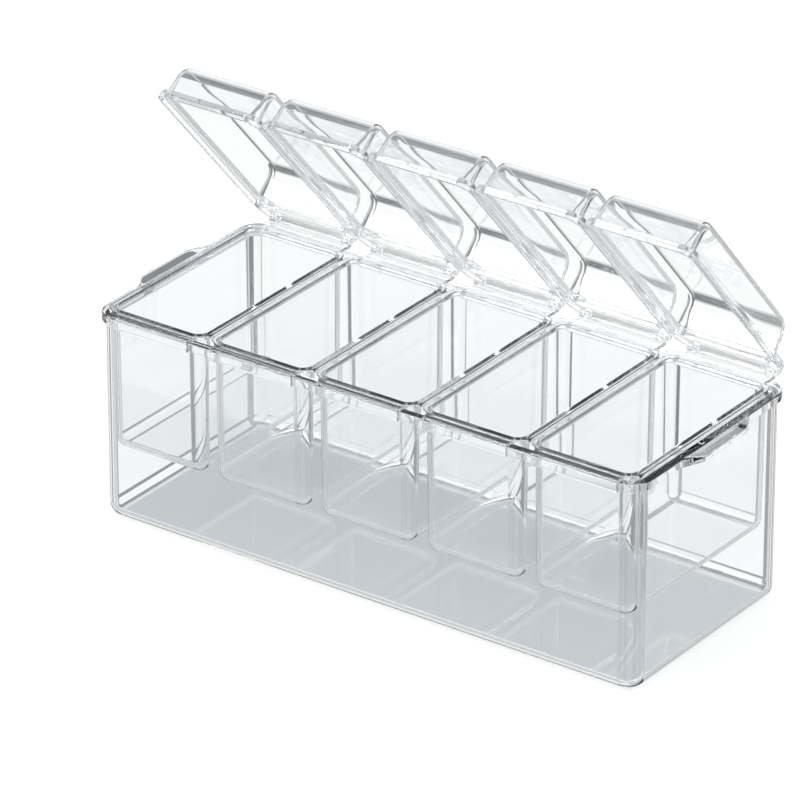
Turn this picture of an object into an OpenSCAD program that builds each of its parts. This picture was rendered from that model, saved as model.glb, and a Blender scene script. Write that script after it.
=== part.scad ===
// Ice serving tray: a clear tub for crushed ice, with five lift-out dishes that hang
// from its rim, each under a clear domed lid that clips to the back of its dish.
// Millimetres, +Z up, origin at the middle of the tub's underside, front towards -Y.

/* [Tub] */
// Height of the tub, from the table to the top of its rim
tub_h = 135; // [110:1:160]
// Width of the tub over its front and back walls
tub_w = 154; // [150:1:170]
// Thickness of the tub's walls
tub_wall = 3; // [2:0.2:4]
// Thickness of the tub's floor
tub_floor = 3; // [2:0.2:5]
// Radius of the tub's upright corners, outside
tub_corner_r = 12; // [10:0.5:16]
// Radius of the tub's bottom edge, outside
tub_foot_r = 8; // [5:0.5:9]
// Height of the band round the tub's rim
band_h = 5.6; // [4:0.2:8]
// How far the band stands out from the wall
band_out = 2.6; // [1:0.1:4]
// Radius of the rim's small edges
rim_edge_r = 0.8; // [0.4:0.1:1.2]

/* [End handles] */
// Length of a handle where it meets the rim
handle_base = 70; // [56:1:84]
// Length of a handle's straight outer edge
handle_outer = 41; // [30:1:46]
// How far a handle stands out from the band
handle_out = 7.5; // [4:0.5:9]
// Radius where a handle's outer edge turns
handle_r = 7; // [4:0.5:12]
// Step from the top of the band down to a handle
handle_step = 0.4; // [0.2:0.1:1]
// Thickness of a handle
handle_t = 4.2; // [3:0.2:4.6]

/* [Dishes] */
// Width of a dish over its rim
dish_w = 75.2; // [66:0.2:84]
// Gap between neighbouring dish rims
dish_gap = 0.8; // [0.6:0.1:2]
// Depth of a dish over its rim, front to back
dish_d = 147.6; // [140:0.2:149]
// Height of a dish, from its underside to the top of its rim
dish_h = 92; // [70:1:104]
// Thickness of a dish's walls and floor
dish_wall = 2.2; // [1.6:0.1:2.8]
// How far a dish's walls lean outwards over their height
dish_lean = 0.8; // [0.6:0.1:1.2]
// Radius of a dish's inner corners at the rim
dish_corner_r = 6.4; // [6.2:0.1:8]
// Radius of a dish's bottom edge, outside
dish_foot_r = 7.4; // [4:0.2:7.4]
// Width of a dish's rim, from the opening outwards
rim_w = 5.2; // [4.6:0.1:6]
// Height of a dish's rim above the tub's rim
rim_t = 3; // [2.4:0.1:3.6]
// Gap between a dish's rim and the tub's rim under it
seat_gap = 0.1; // [0.05:0.05:0.3]
// How far the end dishes' rims lie over the tub's end walls
end_bearing = 0.6; // [0.2:0.1:1]
// Clearance between the dishes' front walls and the tub
front_clear = 0.5; // [0.3:0.1:1.2]

/* [Lip and ledge] */
// How much shorter the lip and the ledge are than a lid's back edge, at each end
tab_inset = 1.5; // [0.5:0.1:3]
// Step from the top of the rim down to the lip and ledge
tab_step = 0.8; // [0.4:0.1:1]
// Thickness of the lip where it hangs in front of the tub
lip_t = 2; // [1.4:0.1:2.6]
// Height of the lip
lip_h = 7.7; // [6:0.1:10]
// Clearance between the lip and the tub's band
lip_clear = 0.3; // [0.2:0.1:0.6]

/* [Hinges] */
// Radius of the rod along a lid's back edge
rod_r = 1.8; // [1.5:0.1:2]
// Running clearance between the rod and a hook
rod_clear = 0.1; // [0.05:0.01:0.1]
// Thickness of a hook round the rod
hook_t = 1.7; // [1.4:0.1:2]
// Width of a hook
hook_w = 5; // [4:0.2:6]
// Mouth of a hook, as an angle at the rod
hook_mouth = 110; // [90:1:120]
// Clearance between a hook and the notch in the lid
notch_clear = 0.4; // [0.3:0.1:0.8]
// Gap between the rod and the top of the ledge
rod_lift = 0.4; // [0.3:0.1:0.8]
// Length of the ledge behind the rod's middle
ledge_past = 0; // [0:0.1:0.3]
// Distance from the tub's band to the rod's middle
rod_back = 2.4; // [2.2:0.1:4]

/* [Lids] */
// Angle at which the lids stand open
lid_open = 48.5; // [0:0.5:90]
// Height of the skirt round a lid
skirt_h = 5.5; // [5:0.1:7]
// Thickness of a lid
lid_t = 2; // [1.6:0.1:2.4]
// Gap between a closed lid and the rim under it
lid_gap = 0.4; // [0.3:0.1:0.8]
// Radius of a lid's front corners
lid_corner_r = 10; // [8:0.5:11]
// How far a lid narrows on each side towards its back edge
taper_in = 6.6; // [5:0.1:8]
// Depth of the curve that narrows a lid to its back edge
lid_taper_d = 15.6; // [12:0.2:18]
// Width of the ledge round the foot of the dome
dome_ledge = 3.4; // [3:0.1:5]
// Distance from a lid's back edge to the foot of the dome
dome_back = 14.4; // [13:0.2:20]
// Height of the dome above the skirt
dome_h = 21.5; // [16:0.5:30]
// Radius of the dome's upright corners at its foot
dome_corner_r = 6; // [5:0.5:9]
// How far the dome's front and back lean in
dome_lean = 2.5; // [1:0.1:5]
// How far the dome's sides lean in
dome_side_lean = 0.5; // [0.2:0.1:2]
// Radius of the round at the dome's top front and back edges
dome_end_r = 11; // [7:0.5:14]
// Radius of the round at the dome's top side edges
dome_side_r = 4; // [3:0.5:5]

/* [Hidden] */

$fn = 96;
// Facets of the rounds inside a hull, and steps of the dome's large rounds
dome_fn = 24;
dome_steps = 6;
clear_tub = [0.84, 0.91, 0.93, 0.45];
clear_dish = [0.80, 0.88, 0.91, 0.5];
clear_lid = [0.86, 0.93, 0.95, 0.45];
// Length by which a cut runs past the face it opens
over = 1;

dish_count = 5;
dish_pitch = dish_w + dish_gap;
row_l = dish_count * dish_w + (dish_count - 1) * dish_gap;

// Tub
tub_l = row_l - 2 * end_bearing + 2 * tub_wall;
band_x = tub_l / 2 + band_out;
band_y = tub_w / 2 + band_out;

// Dish: the middles of its corner rounds, and its inner faces at the rim
dish_x = dish_w / 2 - rim_w - dish_corner_r;
front_in = -(tub_w / 2 - tub_wall - front_clear - dish_wall);
front_rim = front_in - rim_w;
back_rim = front_rim + dish_d;
dish_y0 = front_in + dish_corner_r;
dish_y1 = back_rim - rim_w - dish_corner_r;
rim_s = dish_corner_r + rim_w;
dish_top = tub_h + rim_t;
seat_z = tub_h + seat_gap;
dish_bottom = dish_top - dish_h;
lean_deg = atan(dish_lean / (dish_h - dish_foot_r));
tab_top = dish_top - tab_step;
lip_in = -(band_y + lip_clear);
lip_out = lip_in - lip_t;

// Lid, seen from above
lid_w = dish_w;
lid_back_w = lid_w - 2 * taper_in;
tab_w = lid_back_w - 2 * tab_inset;

// Hinge
rod_y = band_y + rod_back;
rod_z = tab_top + rod_lift + rod_r;
hook_r = rod_r + rod_clear + hook_t;
hook_x = tab_w / 2 - hook_w / 2;

// Lid, as it lies when closed
lid_z = dish_top + lid_gap;
plate_z = lid_z + skirt_h - lid_t;
lid_front = front_rim;
lid_back = rod_y + rod_r;
taper_r = (taper_in * taper_in + lid_taper_d * lid_taper_d) / (2 * taper_in);
taper_y = lid_back - lid_taper_d;
dome_x = lid_w / 2 - dome_ledge;
dome_y0 = lid_front + dome_ledge;
dome_y1 = lid_back - dome_back;
dome_top = lid_z + skirt_h + dome_h;

function dish_at(k) = (k - (dish_count + 1) / 2) * dish_pitch;

// Rectangle from one corner to the other, with its four corners rounded
module round_bar(x0, y0, x1, y1, r) {
    translate([x0 + r, y0]) square([x1 - x0 - 2 * r, y1 - y0]);
    translate([x0, y0 + r]) square([x1 - x0, y1 - y0 - 2 * r]);
    for (x = [x0 + r, x1 - r], y = [y0 + r, y1 - r]) translate([x, y]) circle(r);
}

// Sweeps a section round a rectangle whose corner rounds are centred on (+-a, b0) and
// (+-a, b1); the section's x runs outwards from those centres and its y is the height
module sweep_round(a, b0, b1) {
    for (side = [0, 1]) mirror([side, 0, 0]) {
        translate([a, b1, 0]) rotate([90, 0, 0]) linear_extrude(b1 - b0) children();
        translate([a, b1, 0]) rotate_extrude(angle = 90) children();
        translate([a, b0, 0]) rotate([0, 0, -90]) rotate_extrude(angle = 90) children();
    }
    translate([a, b0, 0]) rotate([0, 0, -90]) rotate([90, 0, 0]) linear_extrude(2 * a) children();
    translate([-a, b1, 0]) rotate([0, 0, 90]) rotate([90, 0, 0]) linear_extrude(2 * a) children();
}

// Section of a moulded wall that turns into its floor over a round: s is the middle of
// the round, r its outer radius, t the thickness and lean the wall's angle outwards
module wall_section(s, z0, z1, r, t, t_floor, lean) {
    zc = z0 + r;
    run = tan(lean);
    foot = [cos(lean), -sin(lean)];
    ri = r - t;
    far = 2 * r;
    outer = [s, zc] + r * foot;
    inner = [s, zc] + ri * foot;
    polygon([inner, outer, [outer[0] + (z1 - outer[1]) * run, z1], [inner[0] + (z1 - inner[1]) * run, z1]]);
    intersection() {
        difference() {
            translate([s, zc]) circle(r);
            translate([s, zc]) circle(ri);
        }
        polygon([[s, zc], [s, zc - far], [s + far, zc - far], [s, zc] + far * foot]);
    }
    translate([0, z0]) square([s, t_floor]);
}

// Outline of a lid seen from above, drawn smaller all round by inset
module lid_outline(inset) {
    hw = lid_w / 2 - inset;
    fr = lid_corner_r - inset;
    tr = taper_r - inset;
    y0 = lid_front + inset;
    y1 = lid_back - inset;
    translate([-hw, y0 + fr]) square([2 * hw, taper_y - y0 - fr]);
    translate([-hw + fr, y0]) square([2 * (hw - fr), 2 * fr]);
    for (side = [-1, 1]) {
        translate([side * (hw - fr), y0 + fr]) circle(fr);
        intersection() {
            translate([side * (hw - tr), taper_y]) circle(tr);
            translate([side > 0 ? 0 : -hw, taper_y - over]) square([hw, y1 - taper_y + over]);
        }
    }
    back_hw = lid_back_w / 2 - inset;
    translate([-back_hw, taper_y]) square([2 * back_hw, y1 - taper_y]);
}

// Closed form of the dome, drawn smaller all round by inset, that starts at the height low.
// A ball as wide as the side rounds follows the large round at the front and at the back
module dome_form(inset, low) {
    foot_z = lid_z + skirt_h;
    path_r = dome_end_r - dome_side_r;
    top_x = dome_x - dome_side_lean - dome_side_r;
    y0 = dome_y0 + dome_lean + dome_end_r;
    y1 = dome_y1 - dome_lean - dome_end_r;
    hull() for (side = [-1, 1]) {
        for (y = [dome_y0 + dome_corner_r, dome_y1 - dome_corner_r])
            translate([side * (dome_x - dome_corner_r), y, low])
                cylinder(h = foot_z - low, r = dome_corner_r - inset, $fn = dome_fn);
        for (step = [0 : dome_steps]) {
            dy = path_r * cos(90 * step / dome_steps);
            z = dome_top - dome_end_r + path_r * sin(90 * step / dome_steps);
            for (y = [y0 - dy, y1 + dy]) translate([side * top_x, y, z]) sphere(dome_side_r - inset, $fn = dome_fn);
        }
    }
}

// Tub with its floor, walls, rim band and the two end handles, in one moulding
module tub() {
    a = tub_l / 2 - tub_corner_r;
    b = tub_w / 2 - tub_corner_r;
    in_s = tub_corner_r - tub_wall;
    color(clear_tub) {
        sweep_round(a, -b, b) {
            union() {
                wall_section(tub_corner_r - tub_foot_r, 0, tub_h - rim_edge_r, tub_foot_r, tub_wall, tub_floor, 0);
                round_bar(in_s, tub_h - band_h, tub_corner_r + band_out, tub_h, rim_edge_r);
            }
        }
        translate([-a, -b, 0]) cube([2 * a, 2 * b, tub_floor]);
        for (side = [0, 1]) mirror([side, 0, 0]) handle();
    }
}

// Finger ledge that widens the band in the middle of an end wall
module handle() {
    root = (tub_l - tub_wall) / 2;
    tip = band_x + handle_out;
    slope = atan(handle_out / ((handle_base - handle_outer) / 2));
    turn = handle_r * tan(slope / 2);
    hy = handle_outer / 2;
    translate([0, 0, tub_h - handle_step - handle_t]) linear_extrude(handle_t) {
        polygon([[root, -handle_base / 2], [band_x, -handle_base / 2],
            [tip - turn * sin(slope), -hy - turn * cos(slope)], [tip - handle_r, -hy + turn], [tip, -hy + turn],
            [tip, hy - turn], [tip - handle_r, hy - turn], [tip - turn * sin(slope), hy + turn * cos(slope)],
            [band_x, handle_base / 2], [root, handle_base / 2]]);
        for (side = [-1, 1]) intersection() {
            translate([tip - handle_r, side * (hy - turn)]) circle(handle_r);
            translate([band_x, side > 0 ? 0 : -handle_base]) square([2 * handle_out, handle_base]);
        }
    }
}

// One dish with its rim, front lip, back ledge and the two hooks for its lid
module dish(k) {
    // The walls lean out, so the round at their foot lies further in than at the rim
    foot_s = dish_corner_r + dish_wall - dish_lean - dish_foot_r;
    color(clear_dish) translate([dish_at(k), 0, 0]) {
        sweep_round(dish_x, dish_y0, dish_y1) {
            union() {
                wall_section(foot_s, dish_bottom, dish_top - rim_edge_r, dish_foot_r, dish_wall, dish_wall, lean_deg);
                round_bar(dish_corner_r, seat_z, rim_s, dish_top, rim_edge_r);
            }
        }
        translate([-dish_x, dish_y0, dish_bottom]) cube([2 * dish_x, dish_y1 - dish_y0, dish_wall]);
        lip();
        ledge();
        for (side = [-1, 1]) translate([side * hook_x, 0, 0]) hook();
    }
}

// Lip that hangs over the front of the tub's band
module lip() {
    translate([-tab_w / 2, 0, 0]) rotate([90, 0, 90]) linear_extrude(tab_w) {
        round_bar(lip_out, seat_z, front_rim + rim_edge_r, tab_top, rim_edge_r);
        round_bar(lip_out, tab_top - lip_h, lip_in, tab_top, rim_edge_r);
        translate([lip_in - rim_edge_r, seat_z]) square([front_rim - lip_in + 2 * rim_edge_r, tab_top - seat_z]);
    }
}

// Ledge that rests on the back of the tub's rim and carries the hooks
module ledge() {
    end_y = rod_y + ledge_past;
    translate([-tab_w / 2, back_rim - rim_edge_r - over, seat_z])
        cube([tab_w, end_y - back_rim + rim_edge_r + over, tab_top - seat_z]);
}

// Hook that the rod of a lid snaps into, open towards the top and the back
module hook() {
    mouth_r = 2 * hook_r;
    mouth_mid = 60;
    m0 = mouth_mid - hook_mouth / 2;
    m1 = mouth_mid + hook_mouth / 2;
    mouth = [for (a = [m0, mouth_mid, m1]) mouth_r * [cos(a), sin(a)]];
    translate([-hook_w / 2, rod_y, rod_z]) rotate([90, 0, 90]) difference() {
        cylinder(h = hook_w, r = hook_r);
        translate([0, 0, -over]) cylinder(h = hook_w + 2 * over, r = rod_r + rod_clear);
        translate([0, 0, -over]) linear_extrude(hook_w + 2 * over) polygon(concat([[0, 0]], mouth));
    }
}

// One lid: skirt, top plate and dome, with the rod along its back edge
module lid(k) {
    color(clear_lid) translate([dish_at(k), rod_y, rod_z]) rotate([-lid_open, 0, 0])
        translate([0, -rod_y, -rod_z]) {
            difference() {
                union() {
                    lid_skirt();
                    translate([0, 0, plate_z]) linear_extrude(lid_t) lid_outline(0);
                    dome_form(0, plate_z + lid_t / 2);
                    back_wall();
                }
                dome_form(lid_t, lid_z - over);
                for (side = [-1, 1]) translate([side * hook_x, 0, 0]) lid_notch();
            }
            lid_rod();
        }
}

// Skirt round the front, the sides and the back of a lid
module lid_skirt() {
    translate([0, 0, lid_z]) linear_extrude(skirt_h) difference() {
        lid_outline(0);
        lid_outline(lid_t);
    }
}

// Wall that carries the dome's back down to the skirt's lower edge, and ends inside the plate
module back_wall() {
    bx = dome_x - dome_corner_r;
    by = dome_y1 - dome_corner_r;
    translate([0, 0, lid_z]) linear_extrude(skirt_h - lid_t * 0.75) {
        translate([-bx, by]) square([2 * bx, dome_corner_r]);
        translate([-dome_x, by - over]) square([2 * dome_x, over]);
        for (side = [-1, 1]) intersection() {
            translate([side * bx, by]) circle(dome_corner_r);
            translate([side > 0 ? 0 : -dome_x, by - over]) square([dome_x, dome_corner_r + over]);
        }
    }
}

// Room for a hook in the back of a lid
module lid_notch() {
    w = hook_w + 2 * notch_clear;
    r = hook_r + notch_clear;
    translate([-w / 2, rod_y - r, lid_z - over]) cube([w, r + rod_r + over, skirt_h + 2 * over]);
}

// Rod along the back edge, which bridges both notches and turns in the hooks
module lid_rod() {
    translate([-lid_back_w / 2, rod_y, rod_z]) rotate([0, 90, 0]) cylinder(h = lid_back_w, r = rod_r);
}

tub();
dish(1);  // dish_1
dish(2);  // dish_2
dish(3);  // dish_3
dish(4);  // dish_4
dish(5);  // dish_5
lid(1);  // lid_1
lid(2);  // lid_2
lid(3);  // lid_3
lid(4);  // lid_4
lid(5);  // lid_5
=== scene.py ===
"""Ice serving tray in clear plastic: a tub, five dishes and five domed lids, in a pale studio."""

import logging
import math
from collections.abc import Callable, Sequence
from dataclasses import dataclass
from enum import Enum
from typing import Any

import bmesh
import bpy
from mathutils import Matrix, Vector

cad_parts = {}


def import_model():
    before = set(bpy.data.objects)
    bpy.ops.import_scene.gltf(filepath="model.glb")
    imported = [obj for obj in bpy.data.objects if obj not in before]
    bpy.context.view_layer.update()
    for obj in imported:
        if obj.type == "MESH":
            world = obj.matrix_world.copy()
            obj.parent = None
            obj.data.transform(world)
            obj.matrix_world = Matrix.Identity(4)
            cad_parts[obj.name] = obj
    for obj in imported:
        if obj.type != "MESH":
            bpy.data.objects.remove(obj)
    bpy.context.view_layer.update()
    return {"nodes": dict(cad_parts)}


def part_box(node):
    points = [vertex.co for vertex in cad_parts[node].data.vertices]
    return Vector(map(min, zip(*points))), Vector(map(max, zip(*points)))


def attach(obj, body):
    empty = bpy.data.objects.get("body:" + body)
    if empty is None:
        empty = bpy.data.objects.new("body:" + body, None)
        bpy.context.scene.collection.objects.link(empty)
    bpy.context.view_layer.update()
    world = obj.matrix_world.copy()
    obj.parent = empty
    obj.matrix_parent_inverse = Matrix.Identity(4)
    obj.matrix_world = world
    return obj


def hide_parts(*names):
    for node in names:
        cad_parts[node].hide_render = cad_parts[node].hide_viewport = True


log = logging.getLogger("ice_tray")

Colour = tuple[float, float, float]
Place = tuple[float, float, float]
Point = tuple[float, float]

WHITE: Colour = (1.0, 1.0, 1.0)
MM = 0.001
# Points of one moulding that are closer than this, in metres, are one point
WELD = 1e-7
# Edges sharper than this, in degrees, are softened
SHARP_DEG = 40.0
# How strongly large faces lead the shading, from 0 to 100
FACE_WEIGHT = 80


class Skin:
    """Vertices and faces of one moulding, in millimetres."""

    def __init__(self) -> None:
        """Starts with nothing."""
        self.verts: list[Place] = []
        self.faces: list[list[int]] = []

    def loop(self, points: Sequence[Place]) -> list[int]:
        """Adds a loop of points.

        Args:
            points: the loop's points, in order.

        Returns:
            Their numbers.
        """
        start = len(self.verts)
        self.verts.extend(points)
        return list(range(start, len(self.verts)))

    def band(self, low: list[int], high: list[int]) -> None:
        """Joins two closed loops of the same length by quads.

        Args:
            low: one loop's point numbers.
            high: the other's.
        """
        for i in range(len(low)):
            j = (i + 1) % len(low)
            self.faces.append([low[i], low[j], high[j], high[i]])

    def cap(self, loop: list[int]) -> None:
        """Closes a loop with one flat face."""
        self.faces.append(list(loop))

    def make(self, name: str) -> bpy.types.Object:
        """Turns the skin into a smooth mesh object with its faces outwards.

        Args:
            name: the object's name.

        Returns:
            The object, in metres.
        """
        mesh = bpy.data.meshes.new(name)
        mesh.from_pydata([tuple(c * MM for c in v) for v in self.verts], [], self.faces)
        work = bmesh.new()
        work.from_mesh(mesh)
        bmesh.ops.remove_doubles(work, verts=work.verts, dist=WELD)
        bmesh.ops.dissolve_degenerate(work, edges=work.edges, dist=WELD)
        bmesh.ops.recalc_face_normals(work, faces=work.faces)
        for face in work.faces:
            face.smooth = True
        work.to_mesh(mesh)
        work.free()
        made = bpy.data.objects.new(name, mesh)
        bpy.context.scene.collection.objects.link(made)
        return made


def arc(middle: Point, radius: float, start: float, end: float, steps: int) -> list[Point]:
    """Works out points of an arc in a section.

    Args:
        middle: the arc's middle.
        radius: its radius.
        start: angle of its first point, in degrees.
        end: angle of its last point.
        steps: how many straight pieces it has.

    Returns:
        Its points, from the first to the last.
    """
    points = []
    for i in range(steps + 1):
        a = math.radians(start + (end - start) * i / steps)
        points.append((middle[0] + radius * math.cos(a), middle[1] + radius * math.sin(a)))
    return points


def prism(name: str, section: Sequence[Point], x0: float, x1: float) -> bpy.types.Object:
    """Makes a solid with the same section all along X.

    Args:
        name: the object's name.
        section: its (Y, Z) points, in millimetres.
        x0: where it starts.
        x1: where it ends.

    Returns:
        The solid.
    """
    skin = Skin()
    low = skin.loop([(x0, y, z) for y, z in section])
    high = skin.loop([(x1, y, z) for y, z in section])
    skin.band(low, high)
    skin.cap(low)
    skin.cap(high)
    return skin.make(name)


class Cut(Enum):
    """How a tool solid changes a moulding."""

    ADD = "UNION"
    REMOVE = "DIFFERENCE"


def carve(body: bpy.types.Object, tools: Sequence[bpy.types.Object], cut: Cut) -> None:
    """Adds solids to a moulding or takes them from it, and deletes them.

    Args:
        body: the moulding.
        tools: the solids.
        cut: whether they are added or removed.
    """
    for tool in tools:
        step = body.modifiers.new("cut", "BOOLEAN")
        step.operation = cut.value
        step.solver = "EXACT"
        step.object = tool
    bpy.context.view_layer.update()
    deps = bpy.context.evaluated_depsgraph_get()
    mesh = bpy.data.meshes.new_from_object(body.evaluated_get(deps))
    body.modifiers.clear()
    old = body.data
    body.data = mesh
    bpy.data.meshes.remove(old)
    for tool in tools:
        bpy.data.objects.remove(tool)


def finish_edges(body: bpy.types.Object, width: float) -> None:
    """Softens a moulding's sharp edges and evens its shading.

    Args:
        body: the moulding.
        width: width of the softened edge, in millimetres.
    """
    soft = body.modifiers.new("soft_edges", "BEVEL")
    soft.width = width * MM
    soft.segments = 2
    soft.limit_method = "ANGLE"
    soft.angle_limit = math.radians(SHARP_DEG)
    soft.use_clamp_overlap = True
    soft.harden_normals = False
    even = body.modifiers.new("even_shading", "WEIGHTED_NORMAL")
    even.keep_sharp = True
    even.weight = FACE_WEIGHT


@dataclass
class Ring:
    """Rounded rectangle seen from above, given by the middles of its corner rounds."""

    half: float
    front: float
    back: float
    # Faces in each corner round, and Y of further places along the two ends
    steps: int = 12
    side_cuts: tuple[float, ...] = ()

    def stations(self) -> list[tuple[Point, Point]]:
        """Works out the places round the ring.

        Returns:
            Each place with its direction outwards.
        """
        places: list[tuple[Point, Point]] = []
        corners = [((self.half, self.front), -90), ((self.half, self.back), 0),
                   ((-self.half, self.back), 90), ((-self.half, self.front), 180)]
        for number, (middle, start) in enumerate(corners):
            for i in range(self.steps + 1):
                a = math.radians(start + 90 * i / self.steps)
                places.append((middle, (math.cos(a), math.sin(a))))
            if number == 0:
                places.extend(((self.half, y), (1.0, 0.0)) for y in self.side_cuts)
            if number == 2:
                places.extend(((-self.half, -y), (-1.0, 0.0)) for y in self.side_cuts)
        return places

    def sweep(self, skin: Skin, section: Sequence[Point],
              push: Callable[[Point, Point, Point], Point] | None = None) -> list[list[int]]:
        """Sweeps an open section round the ring.

        Args:
            skin: the skin that gets the surface.
            section: (distance outwards, height) pairs.
            push: moves one section point at one station.

        Returns:
            One loop of vertices for each section point.
        """
        loops = []
        for s, z in section:
            points = []
            for base, out in self.stations():
                ss, zz = push(base, out, (s, z)) if push else (s, z)
                points.append((base[0] + ss * out[0], base[1] + ss * out[1], zz))
            loops.append(skin.loop(points))
        for low, high in zip(loops, loops[1:]):
            skin.band(low, high)
        return loops


@dataclass
class Tub:
    """The tub: floor, walls, rim band and end handles in one moulding. Millimetres."""

    length: float = 384.0
    width: float = 154.0
    height: float = 135.0
    wall: float = 3.0
    # Rounds: upright corners, and between the walls and the floor
    corner: float = 12.0
    foot: float = 8.0
    # Rim band: height, how far it stands out, edge rounds, and the round between its underside and the wall
    band_h: float = 5.6
    band_out: float = 2.6
    edge: float = 0.8
    fillet: float = 0.7
    # Handle: length at the band and at its outer edge, how far it stands out, and thickness
    handle_base: float = 70.0
    handle_outer: float = 41.0
    handle_out: float = 7.5
    handle_t: float = 4.2
    # Step from the rim's top down to the handle
    handle_step: float = 0.4
    # How soft the handle's two bends are: 0 is straight
    handle_ease: float = 0.55
    # Share of the handle's reach for the points where the band's edge round starts, and the least share used
    near_share: float = 0.25
    least_share: float = 0.97
    # How far past a bend of the handle a further row of points lies, and the rows in each bend
    past_bend: float = 5.0
    bend_steps: int = 10
    # Faces in each round: rim edges, fillet, and the wall's foot inside and outside
    edge_steps: int = 7
    fillet_steps: int = 4
    inner_steps: int = 12
    outer_steps: int = 16
    edge_soft: float = 0.3

    def section(self) -> list[Point]:
        """Works out the wall's section.

        Returns:
            Its points, from the inside of the floor over the rim to the underside.
        """
        c, h, e = self.corner, self.height, self.edge
        s = c - self.foot
        inner = c - self.wall
        out = c + self.band_out
        low = h - self.band_h
        points = arc((s, self.foot), self.foot - self.wall, -90, 0, self.inner_steps)
        points += arc((inner + e, h - e), e, 180, 90, self.edge_steps)
        points += arc((out - e, h - e), e, 90, 0, self.edge_steps)
        points += arc((out - e, low + e), e, 0, -90, self.edge_steps)
        points += arc((c + self.fillet, low - self.fillet), self.fillet, 90, 180, self.fillet_steps)
        points += arc((s, self.foot), self.foot, 0, -90, self.outer_steps)
        return points

    def reach(self, y: float) -> float:
        """Works out how far a handle stands out from the band.

        Args:
            y: place along the end wall.

        Returns:
            The distance from the band.
        """
        half, flat = self.handle_base / 2, self.handle_outer / 2
        t = min(1.0, max(0.0, (half - abs(y)) / (half - flat)))
        soft = t * t * (3 - 2 * t)
        return self.handle_out * ((1 - self.handle_ease) * t + self.handle_ease * soft)

    def push(self, base: Point, out: Point, at: Point) -> Point:
        """Draws the band out into the handle on the end walls.

        Args:
            base: middle of the ring's round at this station.
            out: direction outwards.
            at: the section's point, as distance outwards and height.

        Returns:
            The point, moved where it is part of a handle.
        """
        s, z = at
        start = self.corner + self.band_out - self.edge
        slack = 0.01
        on_end = abs(out[0]) > 0.999
        if not on_end or s < start - slack or z < self.height - self.band_h - slack:
            return at
        reach = self.reach(base[1])
        t = reach / self.handle_out
        share = self.near_share + (1 - self.near_share) * (s - start) / self.edge
        middle = self.height - self.handle_step - self.handle_t / 2
        squeeze = 1 - (1 - self.handle_t / self.band_h) * t
        aim = middle + (z - self.height + self.band_h / 2) * squeeze
        return s + reach * min(1.0, max(share, self.least_share)), z + (aim - z) * t

    def build(self) -> bpy.types.Object:
        """Makes the tub's mesh.

        Returns:
            The tub.
        """
        half, flat = self.handle_base / 2, self.handle_outer / 2
        bend = [half + (flat - half) * i / self.bend_steps for i in range(self.bend_steps + 1)]
        right = [*bend, flat - self.past_bend]
        ys = sorted({0.0, *right, *(-y for y in right)})
        side, end = self.width / 2 - self.corner, self.length / 2 - self.corner
        ring = Ring(end, -side, side, side_cuts=tuple(ys))
        skin = Skin()
        loops = ring.sweep(skin, self.section(), self.push)
        skin.cap(loops[0])
        skin.cap(loops[-1])
        made = skin.make("tub_clear")
        finish_edges(made, self.edge_soft)
        return made


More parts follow.
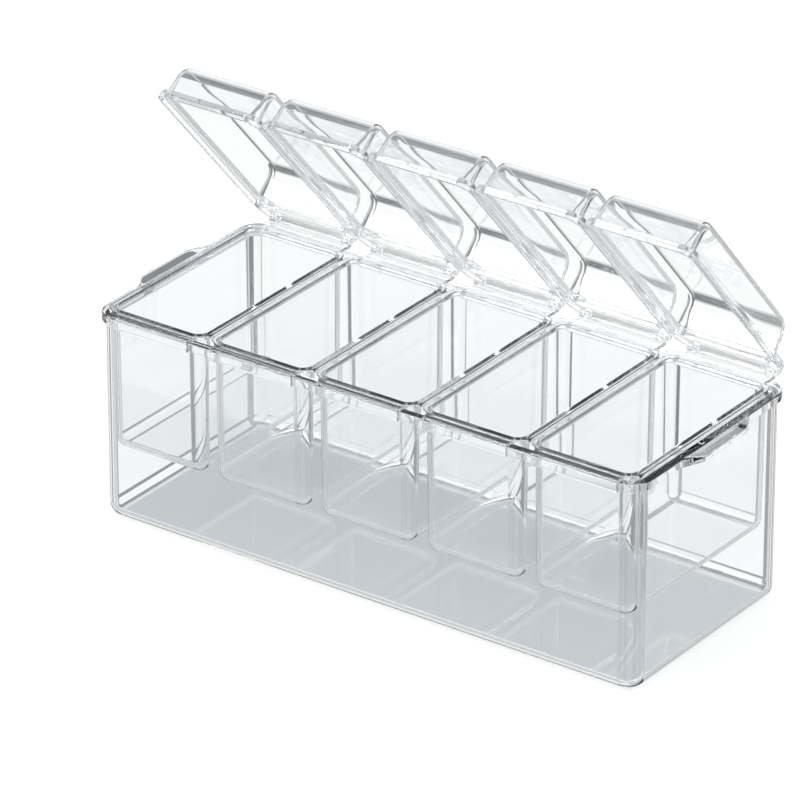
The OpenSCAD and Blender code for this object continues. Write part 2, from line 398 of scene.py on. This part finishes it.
@dataclass
class Dish:
    """A lift-out dish with its rim, front lip, back ledge and two hooks. Millimetres."""

    # Middles of the corner rounds, seen from above
    half: float = 26.0
    front: float = -64.9
    back: float = 59.5
    # Heights: rim, floor's underside, and rim's underside
    top: float = 138.0
    bottom: float = 46.0
    seat: float = 135.1
    # Corner round, rim's reach past it, wall, foot round, and how far a wall leans over its height
    corner: float = 6.4
    rim: float = 5.2
    wall: float = 2.2
    foot: float = 7.4
    lean: float = 0.8
    # Rounds of the rim: edges, lead-in to the inside, and between its underside and the wall
    edge: float = 0.8
    lead_in: float = 1.3
    fillet: float = 0.6
    # Lip and ledge: half their length, top, the lip's two faces and its lower edge
    tab_half: float = 29.5
    tab_top: float = 137.15
    lip_in: float = -79.9
    lip_out: float = -81.9
    lip_low: float = 129.5
    # Lid's rod: place
    rod_y: float = 82.0
    rod_z: float = 139.4
    # Hooks: outer and inner radius, width, and where their round starts and ends, in degrees
    hook_r: float = 3.6
    hook_bore: float = 1.9
    hook_w: float = 5.0
    hook_from: float = 115.0
    hook_to: float = 365.0
    # How far the lip and the ledge reach into the rim, and how far their seats lie above its underside
    bury: float = 0.9
    lift: float = 0.05
    # Rounds of the lip: on its inner face and on its outer face
    lip_in_r: float = 0.5
    lip_out_r: float = 0.7
    # Faces in each round: corners, rim edges, lead-in, fillet, foot inside and outside, lip, hook
    corner_steps: int = 10
    edge_steps: int = 5
    lead_steps: int = 6
    fillet_steps: int = 4
    inner_steps: int = 9
    outer_steps: int = 12
    lip_steps: int = 3
    hook_steps: int = 24
    edge_soft: float = 0.25

    def section(self) -> list[Point]:
        """Works out the wall's section.

        Returns:
            Its points, from the inside of the floor over the rim to the underside.
        """
        lean = math.degrees(math.atan(self.lean / (self.top - self.bottom - self.foot)))
        run = math.tan(math.radians(lean))
        s = self.corner + self.wall - self.lean - self.foot
        zc = self.bottom + self.foot
        e, rim = self.edge, self.corner + self.rim
        inner_top = s + (self.foot - self.wall) + (self.top - self.lead_in - zc) * run
        outer_top = s + self.foot + (self.seat - zc) * run
        lead, fillet = self.lead_in, self.fillet
        points = arc((s, zc), self.foot - self.wall, -90, -lean, self.inner_steps)
        points += arc((inner_top + lead, self.top - lead), lead, 180, 90, self.lead_steps)
        points += arc((rim - e, self.top - e), e, 90, 0, self.edge_steps)
        points += arc((rim - e, self.seat + e), e, 0, -90, self.edge_steps)
        points += arc((outer_top + fillet, self.seat - fillet), fillet, 90, 180, self.fillet_steps)
        points += arc((s, zc), self.foot, -lean, -90, self.outer_steps)
        return points

    def lip(self) -> bpy.types.Object:
        """Makes the lip that hangs in front of the tub's band.

        Returns:
            The lip.
        """
        seat = self.seat + self.lift
        root = self.front - self.corner - self.rim + self.bury
        r_in, r_out, steps = self.lip_in_r, self.lip_out_r, self.lip_steps
        section = [(root, seat)]
        section += arc((self.lip_in + r_in, seat - r_in), r_in, 90, 180, steps)
        section += arc((self.lip_in - r_in, self.lip_low + r_in), r_in, 0, -90, steps)
        section += arc((self.lip_out + r_out, self.lip_low + r_out), r_out, -90, -180, steps)
        section += arc((self.lip_out + r_out, self.tab_top - r_out), r_out, 180, 90, steps + 1)
        section += [(root, self.tab_top)]
        return prism("lip", section, -self.tab_half, self.tab_half)

    def ledge(self) -> bpy.types.Object:
        """Makes the ledge that lies on the back of the tub's rim.

        Returns:
            The ledge.
        """
        y0 = self.back + self.corner + self.rim - self.bury
        seat = self.seat + self.lift
        section = [(y0, seat), (self.rod_y, seat), (self.rod_y, self.tab_top), (y0, self.tab_top)]
        return prism("ledge", section, -self.tab_half, self.tab_half)

    def hook(self, x: float) -> bpy.types.Object:
        """Makes an open hook round the lid's rod.

        Args:
            x: the hook's middle.

        Returns:
            The hook.
        """
        middle, steps = (self.rod_y, self.rod_z), self.hook_steps
        section = arc(middle, self.hook_r, self.hook_from, self.hook_to, steps)
        section += arc(middle, self.hook_bore, self.hook_to, self.hook_from, steps)
        return prism("hook", section, x - self.hook_w / 2, x + self.hook_w / 2)

    def build(self) -> bpy.types.Object:
        """Makes the dish's mesh, with its middle at X = 0.

        Returns:
            The dish.
        """
        skin = Skin()
        ring = Ring(self.half, self.front, self.back, self.corner_steps)
        loops = ring.sweep(skin, self.section())
        skin.cap(loops[0])
        skin.cap(loops[-1])
        made = skin.make("dish_clear")
        x = self.tab_half - self.hook_w / 2
        carve(made, [self.lip(), self.ledge(), self.hook(-x), self.hook(x)], Cut.ADD)
        finish_edges(made, self.edge_soft)
        return made


@dataclass
class Lid:
    """A domed lid with its skirt and the rod along its back edge. Millimetres, as it lies closed."""

    # Skirt: sides, lower edge, height, wall and front corner rounds
    width: float = 75.2
    front: float = -76.5
    back: float = 83.7
    base: float = 138.4
    skirt: float = 5.5
    wall: float = 2.0
    corner: float = 10.0
    # Taper at the back: how far the sides come in, and over what depth
    taper_in: float = 6.6
    taper_d: float = 15.6
    # Dome: how far it stands in from the skirt's sides and front and from its back, height, corner rounds
    dome_ledge: float = 3.4
    dome_back: float = 14.4
    dome_h: float = 21.5
    dome_corner: float = 6.0
    # How far the dome's front and back and its sides lean in, and the rounds along their top edges
    dome_lean: float = 2.5
    side_lean: float = 0.5
    end_r: float = 11.0
    side_r: float = 4.0
    # Rod: place and radius
    rod_y: float = 82.0
    rod_z: float = 139.4
    rod_r: float = 1.8
    # Windows for the dish's hooks: the hooks' place, width and radius, and the room round them
    hook_x: float = 27.0
    hook_w: float = 5.0
    hook_r: float = 3.6
    room: float = 0.4
    # How far the lid stands open at rest, in degrees
    open_deg: float = 48.5
    # Rounds: at the dome's foot, along the plate's edge, along the skirt's lower edge, and under the plate
    foot_r: float = 1.0
    plate_r: float = 0.8
    hem_r: float = 0.4
    under_r: float = 0.6
    # Chamfer between the plate's underside and the dome's inside
    chamfer: float = 0.5
    # How far the back wall stands out from the dome, and where on the dome's corner round it starts
    back_proud: float = 0.1
    back_share: float = 0.6
    # How far the windows' tool solids reach past the skirt
    past: float = 1.0
    # Shares of the way where points lie: along a side, up the dome's wall, across the back wall's lower edge
    side_shares: tuple[float, ...] = (0.25, 0.5, 0.75)
    wall_shares: tuple[float, ...] = (0.33, 0.66)
    hem_shares: tuple[float, ...] = (0.25, 0.75)
    # Faces in each round: corners from above, the dome's large rounds, small rounds, hem, rod
    steps: int = 10
    dome_steps: int = 15
    round_steps: int = 4
    hem_steps: int = 3
    rod_steps: int = 24
    edge_soft: float = 0.25

    def outline(self, inset: float) -> list[Point]:
        """Works out the skirt's outline from above.

        Args:
            inset: how much smaller it is drawn all round.

        Returns:
            Its points, anticlockwise from the front right corner.
        """
        hw, fr = self.width / 2 - inset, self.corner - inset
        tr = (self.taper_in ** 2 + self.taper_d ** 2) / (2 * self.taper_in) - inset
        y0, y1 = self.front + inset, self.back - inset
        taper_y = self.back - self.taper_d
        turn = math.degrees(math.asin((y1 - taper_y) / tr))
        right = arc((hw - fr, y0 + fr), fr, -90, 0, self.steps)
        right += [(hw, y0 + fr + (taper_y - y0 - fr) * t) for t in self.side_shares]
        right += arc((hw - tr, taper_y), tr, 0, turn, self.steps)
        return right + [(-x, y) for x, y in reversed(right)]

    def dome_level(self, inset: float, height: float) -> list[Point]:
        """Works out the dome's outline at one height, with as many points as the skirt's.

        Args:
            inset: how much smaller it is drawn all round.
            height: height above the skirt.

        Returns:
            Its points, anticlockwise from the front right corner.
        """
        low = self.dome_h - self.end_r
        path = self.end_r - self.side_r
        lean = self.dome_lean * min(1.0, height / low)
        side = self.side_lean * min(1.0, height / (self.dome_h - self.side_r))
        radius = self.dome_corner + (self.side_r - self.dome_corner) * min(1.0, height / low) - inset
        top = max(0.0, height - low)
        turn = math.acos(min(1.0, max(0.0, (top - path) / (self.side_r - inset))))
        x = self.width / 2 - self.dome_ledge - side - inset - radius
        y0 = self.front + self.dome_ledge + lean
        y1 = self.back - self.dome_back - lean
        corner = []
        for i in range(self.steps + 1):
            a = turn * i / self.steps
            if top > 0:
                depth = self.end_r - math.sqrt(max(0.0, (path + radius * math.cos(a)) ** 2 - top ** 2))
            else:
                depth = inset + radius * (1 - math.cos(a))
            corner.append((x + radius * math.sin(a), depth))
        (_, first), (side_x, last) = corner[0], corner[-1]
        right = [(px, y0 + depth) for px, depth in corner]
        right += [(side_x, y0 + last + (y1 - y0 - 2 * last) * t) for t in self.side_shares]
        right += [(px, y1 - depth) for px, depth in reversed(corner)]
        return right + [(-px, y) for px, y in reversed(right)]

    def dome_rounds(self, inset: float) -> list[float]:
        """Works out the heights of the levels in the dome's large rounds.

        Args:
            inset: how far inside the dome's outer face they are.

        Returns:
            The heights above the skirt, upwards.
        """
        turns = [math.radians(90 * i / self.dome_steps) for i in range(self.dome_steps + 1)]
        return [self.dome_h - self.end_r + (self.end_r - inset) * math.sin(a) for a in turns]

    def shell(self) -> bpy.types.Object:
        """Makes the skirt, plate and dome.

        Returns:
            The shell, as it lies closed.
        """
        skin = Skin()
        b, top, under = self.base, self.base + self.skirt, self.base + self.skirt - self.wall
        stack: list[list[int]] = []

        def add(points: list[Point], z: float) -> None:
            """Adds one level of the shell."""
            stack.append(skin.loop([(x, y, z) for x, y in points]))

        # Outside, from the dome's top down to the skirt's lower edge
        straight = self.dome_h - self.end_r
        for height in reversed(self.dome_rounds(0.0)):
            add(self.dome_level(0.0, height), top + height)
        for share in reversed(self.wall_shares):
            add(self.dome_level(0.0, straight * share), top + straight * share)
        for s, z in arc((-self.foot_r, self.foot_r), self.foot_r, 0, -90, self.round_steps):
            add(self.dome_level(s, z), top + z)
        for s, z in arc((-self.plate_r, -self.plate_r), self.plate_r, 90, 0, self.round_steps):
            add(self.outline(-s), top + z)
        for s, z in arc((-self.hem_r, self.hem_r), self.hem_r, 0, -90, self.hem_steps):
            add(self.outline(-s), b + z)
        # Inside, up again
        for s, z in arc((self.hem_r - self.wall, self.hem_r), self.hem_r, -90, -180, self.hem_steps):
            add(self.outline(-s), b + z)
        for s, z in arc((-self.wall - self.under_r, -self.under_r), self.under_r, 0, 90, self.hem_steps):
            add(self.outline(-s), under + z)
        self.back_levels(skin, stack, under)
        for share in self.wall_shares:
            add(self.dome_level(self.wall, straight * share), top + straight * share)
        for height in self.dome_rounds(self.wall):
            add(self.dome_level(self.wall, height), top + height)
        for low, high in zip(stack, stack[1:]):
            skin.band(low, high)
        skin.cap(stack[0])
        skin.cap(stack[-1])
        return skin.make("lid_clear")

    def back_levels(self, skin: Skin, stack: list[list[int]], under: float) -> None:
        """Adds the levels that carry the dome's back wall down to the skirt's lower edge.

        Args:
            skin: the lid's skin.
            stack: its levels so far.
            under: height of the plate's underside.
        """
        outer, inner = self.dome_level(-self.back_proud, 0.0), self.dome_level(self.wall, 0.0)
        edge = self.dome_level(self.wall - self.chamfer, 0.0)
        limit = self.back - self.dome_back - self.dome_corner * self.back_share
        hem, high = self.base + self.hem_r, under + self.chamfer
        columns = []
        for (ox, oy), (ix, iy), (ex, ey) in zip(outer, inner, edge):
            down = [(ox, oy, under), (ox, oy, hem)]
            down += [(ox + (ix - ox) * t, oy + (iy - oy) * t, self.base) for t in self.hem_shares]
            down += [(ix, iy, hem)]
            if oy <= limit:
                # No wall here: all its points lie where the plate's underside ends
                down = [(ex, ey, under)] * len(down)
            columns.append([*down, (ix, iy, high)])
        stack += [skin.loop(level) for level in zip(*columns)]

    def build(self) -> bpy.types.Object:
        """Makes the lid's mesh, standing open, with its middle at X = 0.

        Returns:
            The lid.
        """
        made = self.shell()
        reach = self.hook_w / 2 + self.room
        inner, outer = self.rod_y - self.hook_r - self.room, self.back + 2 * self.past
        low, high = self.base - self.past, self.base + self.skirt + self.past
        section = [(inner, low), (outer, low), (outer, high), (inner, high)]
        windows = [prism("window", section, x - reach, x + reach) for x in (-self.hook_x, self.hook_x)]
        carve(made, windows, Cut.REMOVE)
        half, steps = self.width / 2 - self.taper_in, self.rod_steps
        round_bar = arc((self.rod_y, self.rod_z), self.rod_r, 0, 360 - 360 / steps, steps - 1)
        carve(made, [prism("rod", round_bar, -half, half)], Cut.ADD)
        pivot = Matrix.Translation((0, self.rod_y * MM, self.rod_z * MM))
        swing = Matrix.Rotation(-math.radians(self.open_deg), 4, "X")
        made.data.transform(pivot @ swing @ pivot.inverted())
        finish_edges(made, self.edge_soft)
        return made


class Sock:
    """A shader socket that takes part in arithmetic: each operator adds its Math node."""

    def __init__(self, tree: bpy.types.NodeTree, out: bpy.types.NodeSocket) -> None:
        """Wraps an output socket.

        Args:
            tree: node tree that the socket is in.
            out: the output socket.
        """
        self.tree = tree
        self.out = out

    def _math(self, operation: str, first: Any, second: Any = 0.0) -> "Sock":
        """Adds a Math node.

        Args:
            operation: Blender's name for the operation.
            first: value or socket for the first input.
            second: value or socket for the second input.

        Returns:
            The node's output.
        """
        made = self.tree.nodes.new("ShaderNodeMath")
        made.operation = operation
        for place, value in enumerate((first, second)):
            if isinstance(value, Sock):
                self.tree.links.new(value.out, made.inputs[place])
            else:
                made.inputs[place].default_value = float(value)
        return Sock(self.tree, made.outputs[0])

    def __add__(self, other: Any) -> "Sock":
        """Sum."""
        return self._math("ADD", self, other)

    __radd__ = __add__

    def __sub__(self, other: Any) -> "Sock":
        """Difference."""
        return self._math("SUBTRACT", self, other)

    def __rsub__(self, other: Any) -> "Sock":
        """Difference with the socket on the right."""
        return self._math("SUBTRACT", other, self)

    def __mul__(self, other: Any) -> "Sock":
        """Product."""
        return self._math("MULTIPLY", self, other)

    __rmul__ = __mul__

    def high(self, other: Any) -> "Sock":
        """The larger of the two."""
        return self._math("MAXIMUM", self, other)

    def low(self, other: Any) -> "Sock":
        """The smaller of the two."""
        return self._math("MINIMUM", self, other)

    def clamp(self) -> "Sock":
        """The value, kept between 0 and 1."""
        return self.high(0.0).low(1.0)


class Graph:
    """Node tree of a material or of the world, built by one method."""

    def __init__(self, owner: bpy.types.ID) -> None:
        """Clears the owner's node tree.

        Args:
            owner: a material or a world.
        """
        owner.use_nodes = True
        self.tree = owner.node_tree
        self.tree.nodes.clear()

    def node(self, kind: str, settings: dict[str, Any] | None = None, inputs: dict[Any, Any] | None = None,
             output: Any = 0) -> Sock:
        """Adds one node.

        Args:
            kind: the node's type.
            settings: its settings, set first; "stops" holds a colour ramp's (position, colour) pairs.
            inputs: values or sockets by input name or number.
            output: name or number of the output that is returned.

        Returns:
            The chosen output.
        """
        made = self.tree.nodes.new(kind)
        for key, value in (settings or {}).items():
            if key == "stops":
                ramp = made.color_ramp
                while len(ramp.elements) < len(value):
                    ramp.elements.new(0.5)
                for stop, (place, colour) in zip(ramp.elements, value):
                    stop.position = place
                    stop.color = colour
            else:
                setattr(made, key, value)
        for key, value in (inputs or {}).items():
            if isinstance(value, Sock):
                self.tree.links.new(value.out, made.inputs[key])
            else:
                made.inputs[key].default_value = value
        return Sock(self.tree, made.outputs[output] if made.outputs else None)

    def size(self, place: Sock, axis: str) -> Sock:
        """Distance of a place from the middle along one axis, without its sign."""
        part = self.node("ShaderNodeSeparateXYZ", None, {0: place}, axis)
        return self.node("ShaderNodeMath", {"operation": "ABSOLUTE"}, {0: part})

    def mix(self, mask: Any, low: Any, high: Any) -> Sock:
        """Mixes two colours.

        Args:
            mask: 0 gives low and 1 gives high.
            low: colour or socket.
            high: colour or socket.

        Returns:
            The mixed colour.
        """
        return self.node("ShaderNodeMix", {"data_type": "RGBA"}, {0: mask, 6: low, 7: high}, 2)


def rgba(colour: Colour) -> tuple[float, float, float, float]:
    """A colour with full alpha."""
    return (*colour, 1.0)


@dataclass(frozen=True)
class ClearPlastic:
    """Moulded clear plastic, with faint flow marks, fine handling marks and painted shade where it is seen
    edge on.
    """

    name: str
    tint: Colour = (0.985, 0.990, 0.992)
    shade: Colour = (0.965, 0.975, 0.980)
    ior: float = 1.5
    # How far a surface turns from the eye before its painted edge shade starts: 0 is square on, 1 edge on;
    # the edge colour below is that painted shade
    painted_edge_from: float = 0.76
    edge: Colour = (0.20, 0.23, 0.26)
    # Flow marks: the noise's scale and detail, their strength, and their height in metres
    flow_scale: float = 9.0
    flow_detail: float = 2.0
    flow_strength: float = 0.04
    flow_height: float = 0.002
    # Handling marks: the noise's scale and detail, the level where a mark starts, and how rough it gets
    mark_scale: float = 420.0
    mark_detail: float = 3.0
    mark_from: float = 0.62
    mark_rough: float = 0.4
    # Colour of the light that passes on to the shadow
    shadow: Colour = (0.93, 0.95, 0.96)

    def material(self) -> bpy.types.Material:
        """Builds the material.

        Returns:
            The finished material.
        """
        made = bpy.data.materials.new(self.name)
        g = Graph(made)
        place = g.node("ShaderNodeTexCoord", output="Object")
        flow = g.node("ShaderNodeTexNoise", None, {
            "Vector": place, "Scale": self.flow_scale, "Detail": self.flow_detail})
        specks = g.node("ShaderNodeTexNoise", None, {
            "Vector": place, "Scale": self.mark_scale, "Detail": self.mark_detail})
        marks = (specks - self.mark_from).high(0.0) * self.mark_rough
        bump = g.node("ShaderNodeBump", None, {
            "Strength": self.flow_strength, "Distance": self.flow_height, "Height": flow})
        facing = g.node("ShaderNodeLayerWeight", None, {"Blend": 0.5}, "Facing")
        # Painted shade: the base colour turns dark grey where the surface is seen edge on, in place of dark
        # reflections
        edge = ((facing - self.painted_edge_from) * (1 / (1 - self.painted_edge_from))).high(0.0)
        glass = g.node("ShaderNodeBsdfPrincipled", None, {
            "Base Color": g.mix(edge, g.mix(flow, rgba(self.shade), rgba(self.tint)), rgba(self.edge)),
            "Roughness": marks,
            "IOR": self.ior,
            "Transmission Weight": 1.0,
            "Normal": bump,
        })
        through = g.node("ShaderNodeBsdfTransparent", None, {"Color": rgba(self.shadow)})
        shadow = g.node("ShaderNodeLightPath", output="Is Shadow Ray")
        body = g.node("ShaderNodeMixShader", None, {0: shadow, 1: glass, 2: through})
        g.node("ShaderNodeOutputMaterial", None, {"Surface": body})
        return made


@dataclass(frozen=True)
class Card:
    """Grey card between two angles, in degrees, whose edges fade over soft degrees."""

    start: float
    end: float
    soft: float
    strength: float = 1.0

    def mask(self, turn: Sock) -> Sock:
        """Its strength where the angle turn meets the card, and 0 off it."""
        rise = ((turn - self.start) * (1 / self.soft)).clamp()
        return rise * ((self.end - turn) * (1 / self.soft)).clamp() * self.strength


@dataclass(frozen=True)
class Lamp:
    """Soft square lamp: its name, its place and side in metres, and its power in watts."""

    name: str
    place: Place
    size: float
    power: float

    def build(self, aim: Place) -> None:
        """Makes the lamp.

        Args:
            aim: point that it faces, in metres.
        """
        data = bpy.data.lights.new(self.name, "AREA")
        data.size = self.size
        data.energy = self.power
        lamp = bpy.data.objects.new(self.name, data)
        bpy.context.scene.collection.objects.link(lamp)
        lamp.location = self.place
        lamp.rotation_euler = (Vector(aim) - Vector(self.place)).to_track_quat("-Z", "Y").to_euler()


@dataclass
class Studio:
    """Pale floor, soft light and the camera."""

    # Floor: side and drop below the tray, in metres
    floor_size: float = 14.0
    floor_drop: float = 0.0003
    # Its grey, the share of plain white in its place where it is seen, and how open it is to light that
    # has met the plastic
    floor_grey: Colour = (0.90, 0.90, 0.90)
    floor_glow: float = 0.75
    floor_open: float = 0.9
    # Half the tub's footprint in metres, the painted shade on it, and how steeply the painted shade ends,
    # per metre
    foot: Point = (0.187, 0.072)
    painted_contact_shade: Colour = (0.60, 0.63, 0.65)
    painted_shade_fade: float = 200.0
    # Camera: place in metres, angles in degrees, lens and sensor in mm, and how far it sees in metres
    eye: Place = (2.0228, -2.8487, 1.8609)
    azimuth: float = 35.74
    elevation: float = 26.73
    lens: float = 299.9
    sensor: float = 36.0
    sight: float = 100.0
    # Two upright cards in each quarter turn, for reflections only
    upright: tuple[Card, Card] = (Card(6.0, 28.0, 3.0), Card(62.0, 84.0, 3.0))
    # Cards round the line of sight, just outside the picture, for light that only passes through
    rings: tuple[Card, Card] = (Card(3.6, 10.5, 0.8), Card(3.6, 32.0, 8.0, 0.5))
    card: Colour = (0.03, 0.035, 0.045)
    # How much of the white a card covers, seen through the plastic and in reflections
    cover_through: float = 0.93
    cover_reflected: float = 0.80
    # The ceiling's colour by the height that a reflection looks at: 0 is level and 1 straight up
    ceiling: tuple[tuple[float, Colour], ...] = (
        (0.0, WHITE), (0.28, WHITE), (0.46, (0.34, 0.37, 0.41)), (0.74, (0.40, 0.43, 0.47)), (0.9, WHITE))
    # How steeply the walls give way to the ceiling at level height
    ceiling_fade: float = 5.0
    lamps: tuple[Lamp, ...] = (
        Lamp("key", (-1.2, -1.6, 2.2), 1.4, 60.0), Lamp("fill", (2.4, -0.6, 1.8), 1.2, 30.0))
    # Point that the lamps face, in metres
    aim: Place = (0.0, 0.0, 0.1)
    # Surfaces that light may pass or meet, and those that it may pass on its way to a shadow
    bounces: int = 44
    see_through: int = 24

    def camera(self) -> None:
        """Makes the camera at the photograph's viewing angle."""
        data = bpy.data.cameras.new("camera")
        data.lens = self.lens
        data.sensor_width = self.sensor
        data.clip_end = self.sight
        cam = bpy.data.objects.new("camera", data)
        bpy.context.scene.collection.objects.link(cam)
        cam.location = self.eye
        cam.rotation_euler = (math.radians(90 - self.elevation), 0.0, math.radians(self.azimuth))
        bpy.context.scene.camera = cam

    def floor(self) -> None:
        """Makes the floor, white to the eye, which keeps a soft shadow and lets light pass to the studio."""
        half = self.floor_size / 2
        corners = [(-half, -half, 0.0), (half, -half, 0.0), (half, half, 0.0), (-half, half, 0.0)]
        mesh = bpy.data.meshes.new("floor")
        mesh.from_pydata(corners, [], [(0, 1, 2, 3)])
        mesh.materials.append(self.floor_finish())
        floor = bpy.data.objects.new("floor", mesh)
        floor.location.z = -self.floor_drop
        bpy.context.scene.collection.objects.link(floor)

    def floor_finish(self) -> bpy.types.Material:
        """Builds the floor's material, with a painted shade under the tub.

        Returns:
            The finished material.
        """
        made = bpy.data.materials.new("pale_floor")
        g = Graph(made)
        camera = g.node("ShaderNodeLightPath", output="Is Camera Ray")
        glossy = g.node("ShaderNodeLightPath", output="Is Glossy Ray")
        through = g.node("ShaderNodeLightPath", output="Is Transmission Ray")
        seen = camera.high(glossy).high(through)
        matt = g.node("ShaderNodeBsdfDiffuse", None, {"Color": rgba(self.floor_grey)})
        place = g.node("ShaderNodeTexCoord", output="Object")
        sides = [(half - g.size(place, axis)) * self.painted_shade_fade for axis, half in zip("XY", self.foot)]
        # Painted shade: under the tub's footprint the floor's own white is drawn grey, as a contact shadow
        under = sides[0].low(sides[1]).clamp()
        white = g.node("ShaderNodeEmission", None, {"Color": rgba(WHITE), "Strength": 1.0})
        shade = g.node("ShaderNodeEmission", None, {"Color": rgba(self.painted_contact_shade), "Strength": 1.0})
        glow_or_painted_shade = g.node("ShaderNodeMixShader", None, {0: under, 1: white, 2: shade})
        pale = g.node("ShaderNodeMixShader", None, {0: seen * self.floor_glow, 1: matt, 2: glow_or_painted_shade})
        open_air = g.node("ShaderNodeBsdfTransparent", None, {"Color": rgba(WHITE)})
        unseen = self.bounced(g).high(through) * self.floor_open * (1.0 - under)
        body = g.node("ShaderNodeMixShader", None, {0: unseen, 1: pale, 2: open_air})
        g.node("ShaderNodeOutputMaterial", None, {"Surface": body})
        return made

    def bounced(self, g: Graph) -> Sock:
        """1 for light that a surface has reflected on its way, 0 for light that only passed through."""
        return g.node("ShaderNodeLightPath", output="Glossy Depth").low(1.0)

    def world(self) -> None:
        """Makes the world: white, with grey cards round the tray and the view, and a grey ceiling.

        The upright cards and the ceiling show in reflections only. The cards round the view show only in
        light that passes through, so they darken the plastic's edges as seen by the camera.
        """
        world = bpy.data.worlds.new("studio")
        bpy.context.scene.world = world
        g = Graph(world)
        look = g.node("ShaderNodeTexCoord", output="Generated")
        x, y, z = (g.node("ShaderNodeSeparateXYZ", None, {0: look}, axis) for axis in "XYZ")
        bounced = self.bounced(g)
        heading = g.node("ShaderNodeMath", {"operation": "ARCTAN2"}, {0: y, 1: x}) * math.degrees(1)
        quarter = g.node("ShaderNodeMath", {"operation": "FLOORED_MODULO"}, {0: heading + 360.0, 1: 90.0})
        ahead, down = math.radians(90 + self.azimuth), math.radians(self.elevation)
        along = x * (math.cos(ahead) * math.cos(down)) + y * (math.sin(ahead) * math.cos(down))
        near = (along - z * math.sin(down)).low(1.0)
        off_view = g.node("ShaderNodeMath", {"operation": "ARCCOSINE"}, {0: near}) * math.degrees(1)
        walls = self.stronger(self.upright, quarter) * bounced
        rings = self.stronger(self.rings, off_view) * (1.0 - bounced)
        cover = self.cover_through - bounced * (self.cover_through - self.cover_reflected)
        room = g.mix(walls.high(rings) * cover, rgba(WHITE), rgba(self.card))
        stops = [(height, rgba(colour)) for height, colour in self.ceiling]
        ceiling = g.node("ShaderNodeValToRGB", {"stops": stops}, {0: z})
        above = (z * self.ceiling_fade + 0.5).clamp()
        colour = g.mix(above * bounced, room, ceiling)
        light = g.node("ShaderNodeBackground", None, {"Color": colour, "Strength": 1.0})
        g.node("ShaderNodeOutputWorld", None, {"Surface": light})

    def stronger(self, cards: tuple[Card, Card], turn: Sock) -> Sock:
        """The stronger of two cards where the angle turn meets them."""
        return cards[0].mask(turn).high(cards[1].mask(turn))

    def build(self) -> None:
        """Makes the whole studio."""
        self.camera()
        self.floor()
        self.world()
        for lamp in self.lamps:
            lamp.build(self.aim)
        scene = bpy.context.scene
        scene.view_settings.view_transform = "Standard"
        scene.cycles.max_bounces = self.bounces
        scene.cycles.transmission_bounces = self.bounces
        scene.cycles.glossy_bounces = self.bounces
        scene.cycles.transparent_max_bounces = self.see_through
        scene.cycles.caustics_reflective = False
        scene.cycles.caustics_refractive = False
        scene.cycles.use_denoising = True


def place_piece(piece: bpy.types.Object, node: str, body: str, finish: bpy.types.Material) -> None:
    """Puts a finished piece in the place of its CAD node.

    Args:
        piece: the finer mesh.
        node: the CAD node that it stands for.
        body: the body that it moves with.
        finish: its material.
    """
    piece.name = f"{node}_clear"
    piece.data.materials.clear()
    piece.data.materials.append(finish)
    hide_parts(node)
    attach(piece, body)
    log.info("%s: %d faces, on %s", piece.name, len(piece.data.polygons), body)


def main() -> None:
    """Builds the tray and its studio."""
    logging.basicConfig(level=logging.INFO, format="%(name)s: %(message)s")
    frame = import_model()
    Studio().build()
    place_piece(Tub().build(), "tub", "tray", ClearPlastic("clear_tub").material())
    dish_finish = ClearPlastic("clear_dish").material()
    lid_finish = ClearPlastic("clear_lid").material()
    for name in sorted(set(frame["nodes"]) - {"tub"}):
        if name.startswith("dish"):
            piece, body, finish = Dish().build(), "tray", dish_finish
        else:
            piece, body, finish = Lid().build(), f"{name}_body", lid_finish
        low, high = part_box(name)
        piece.location.x = (low[0] + high[0]) / 2
        place_piece(piece, name, body, finish)


if __name__ == "__main__":
    main()
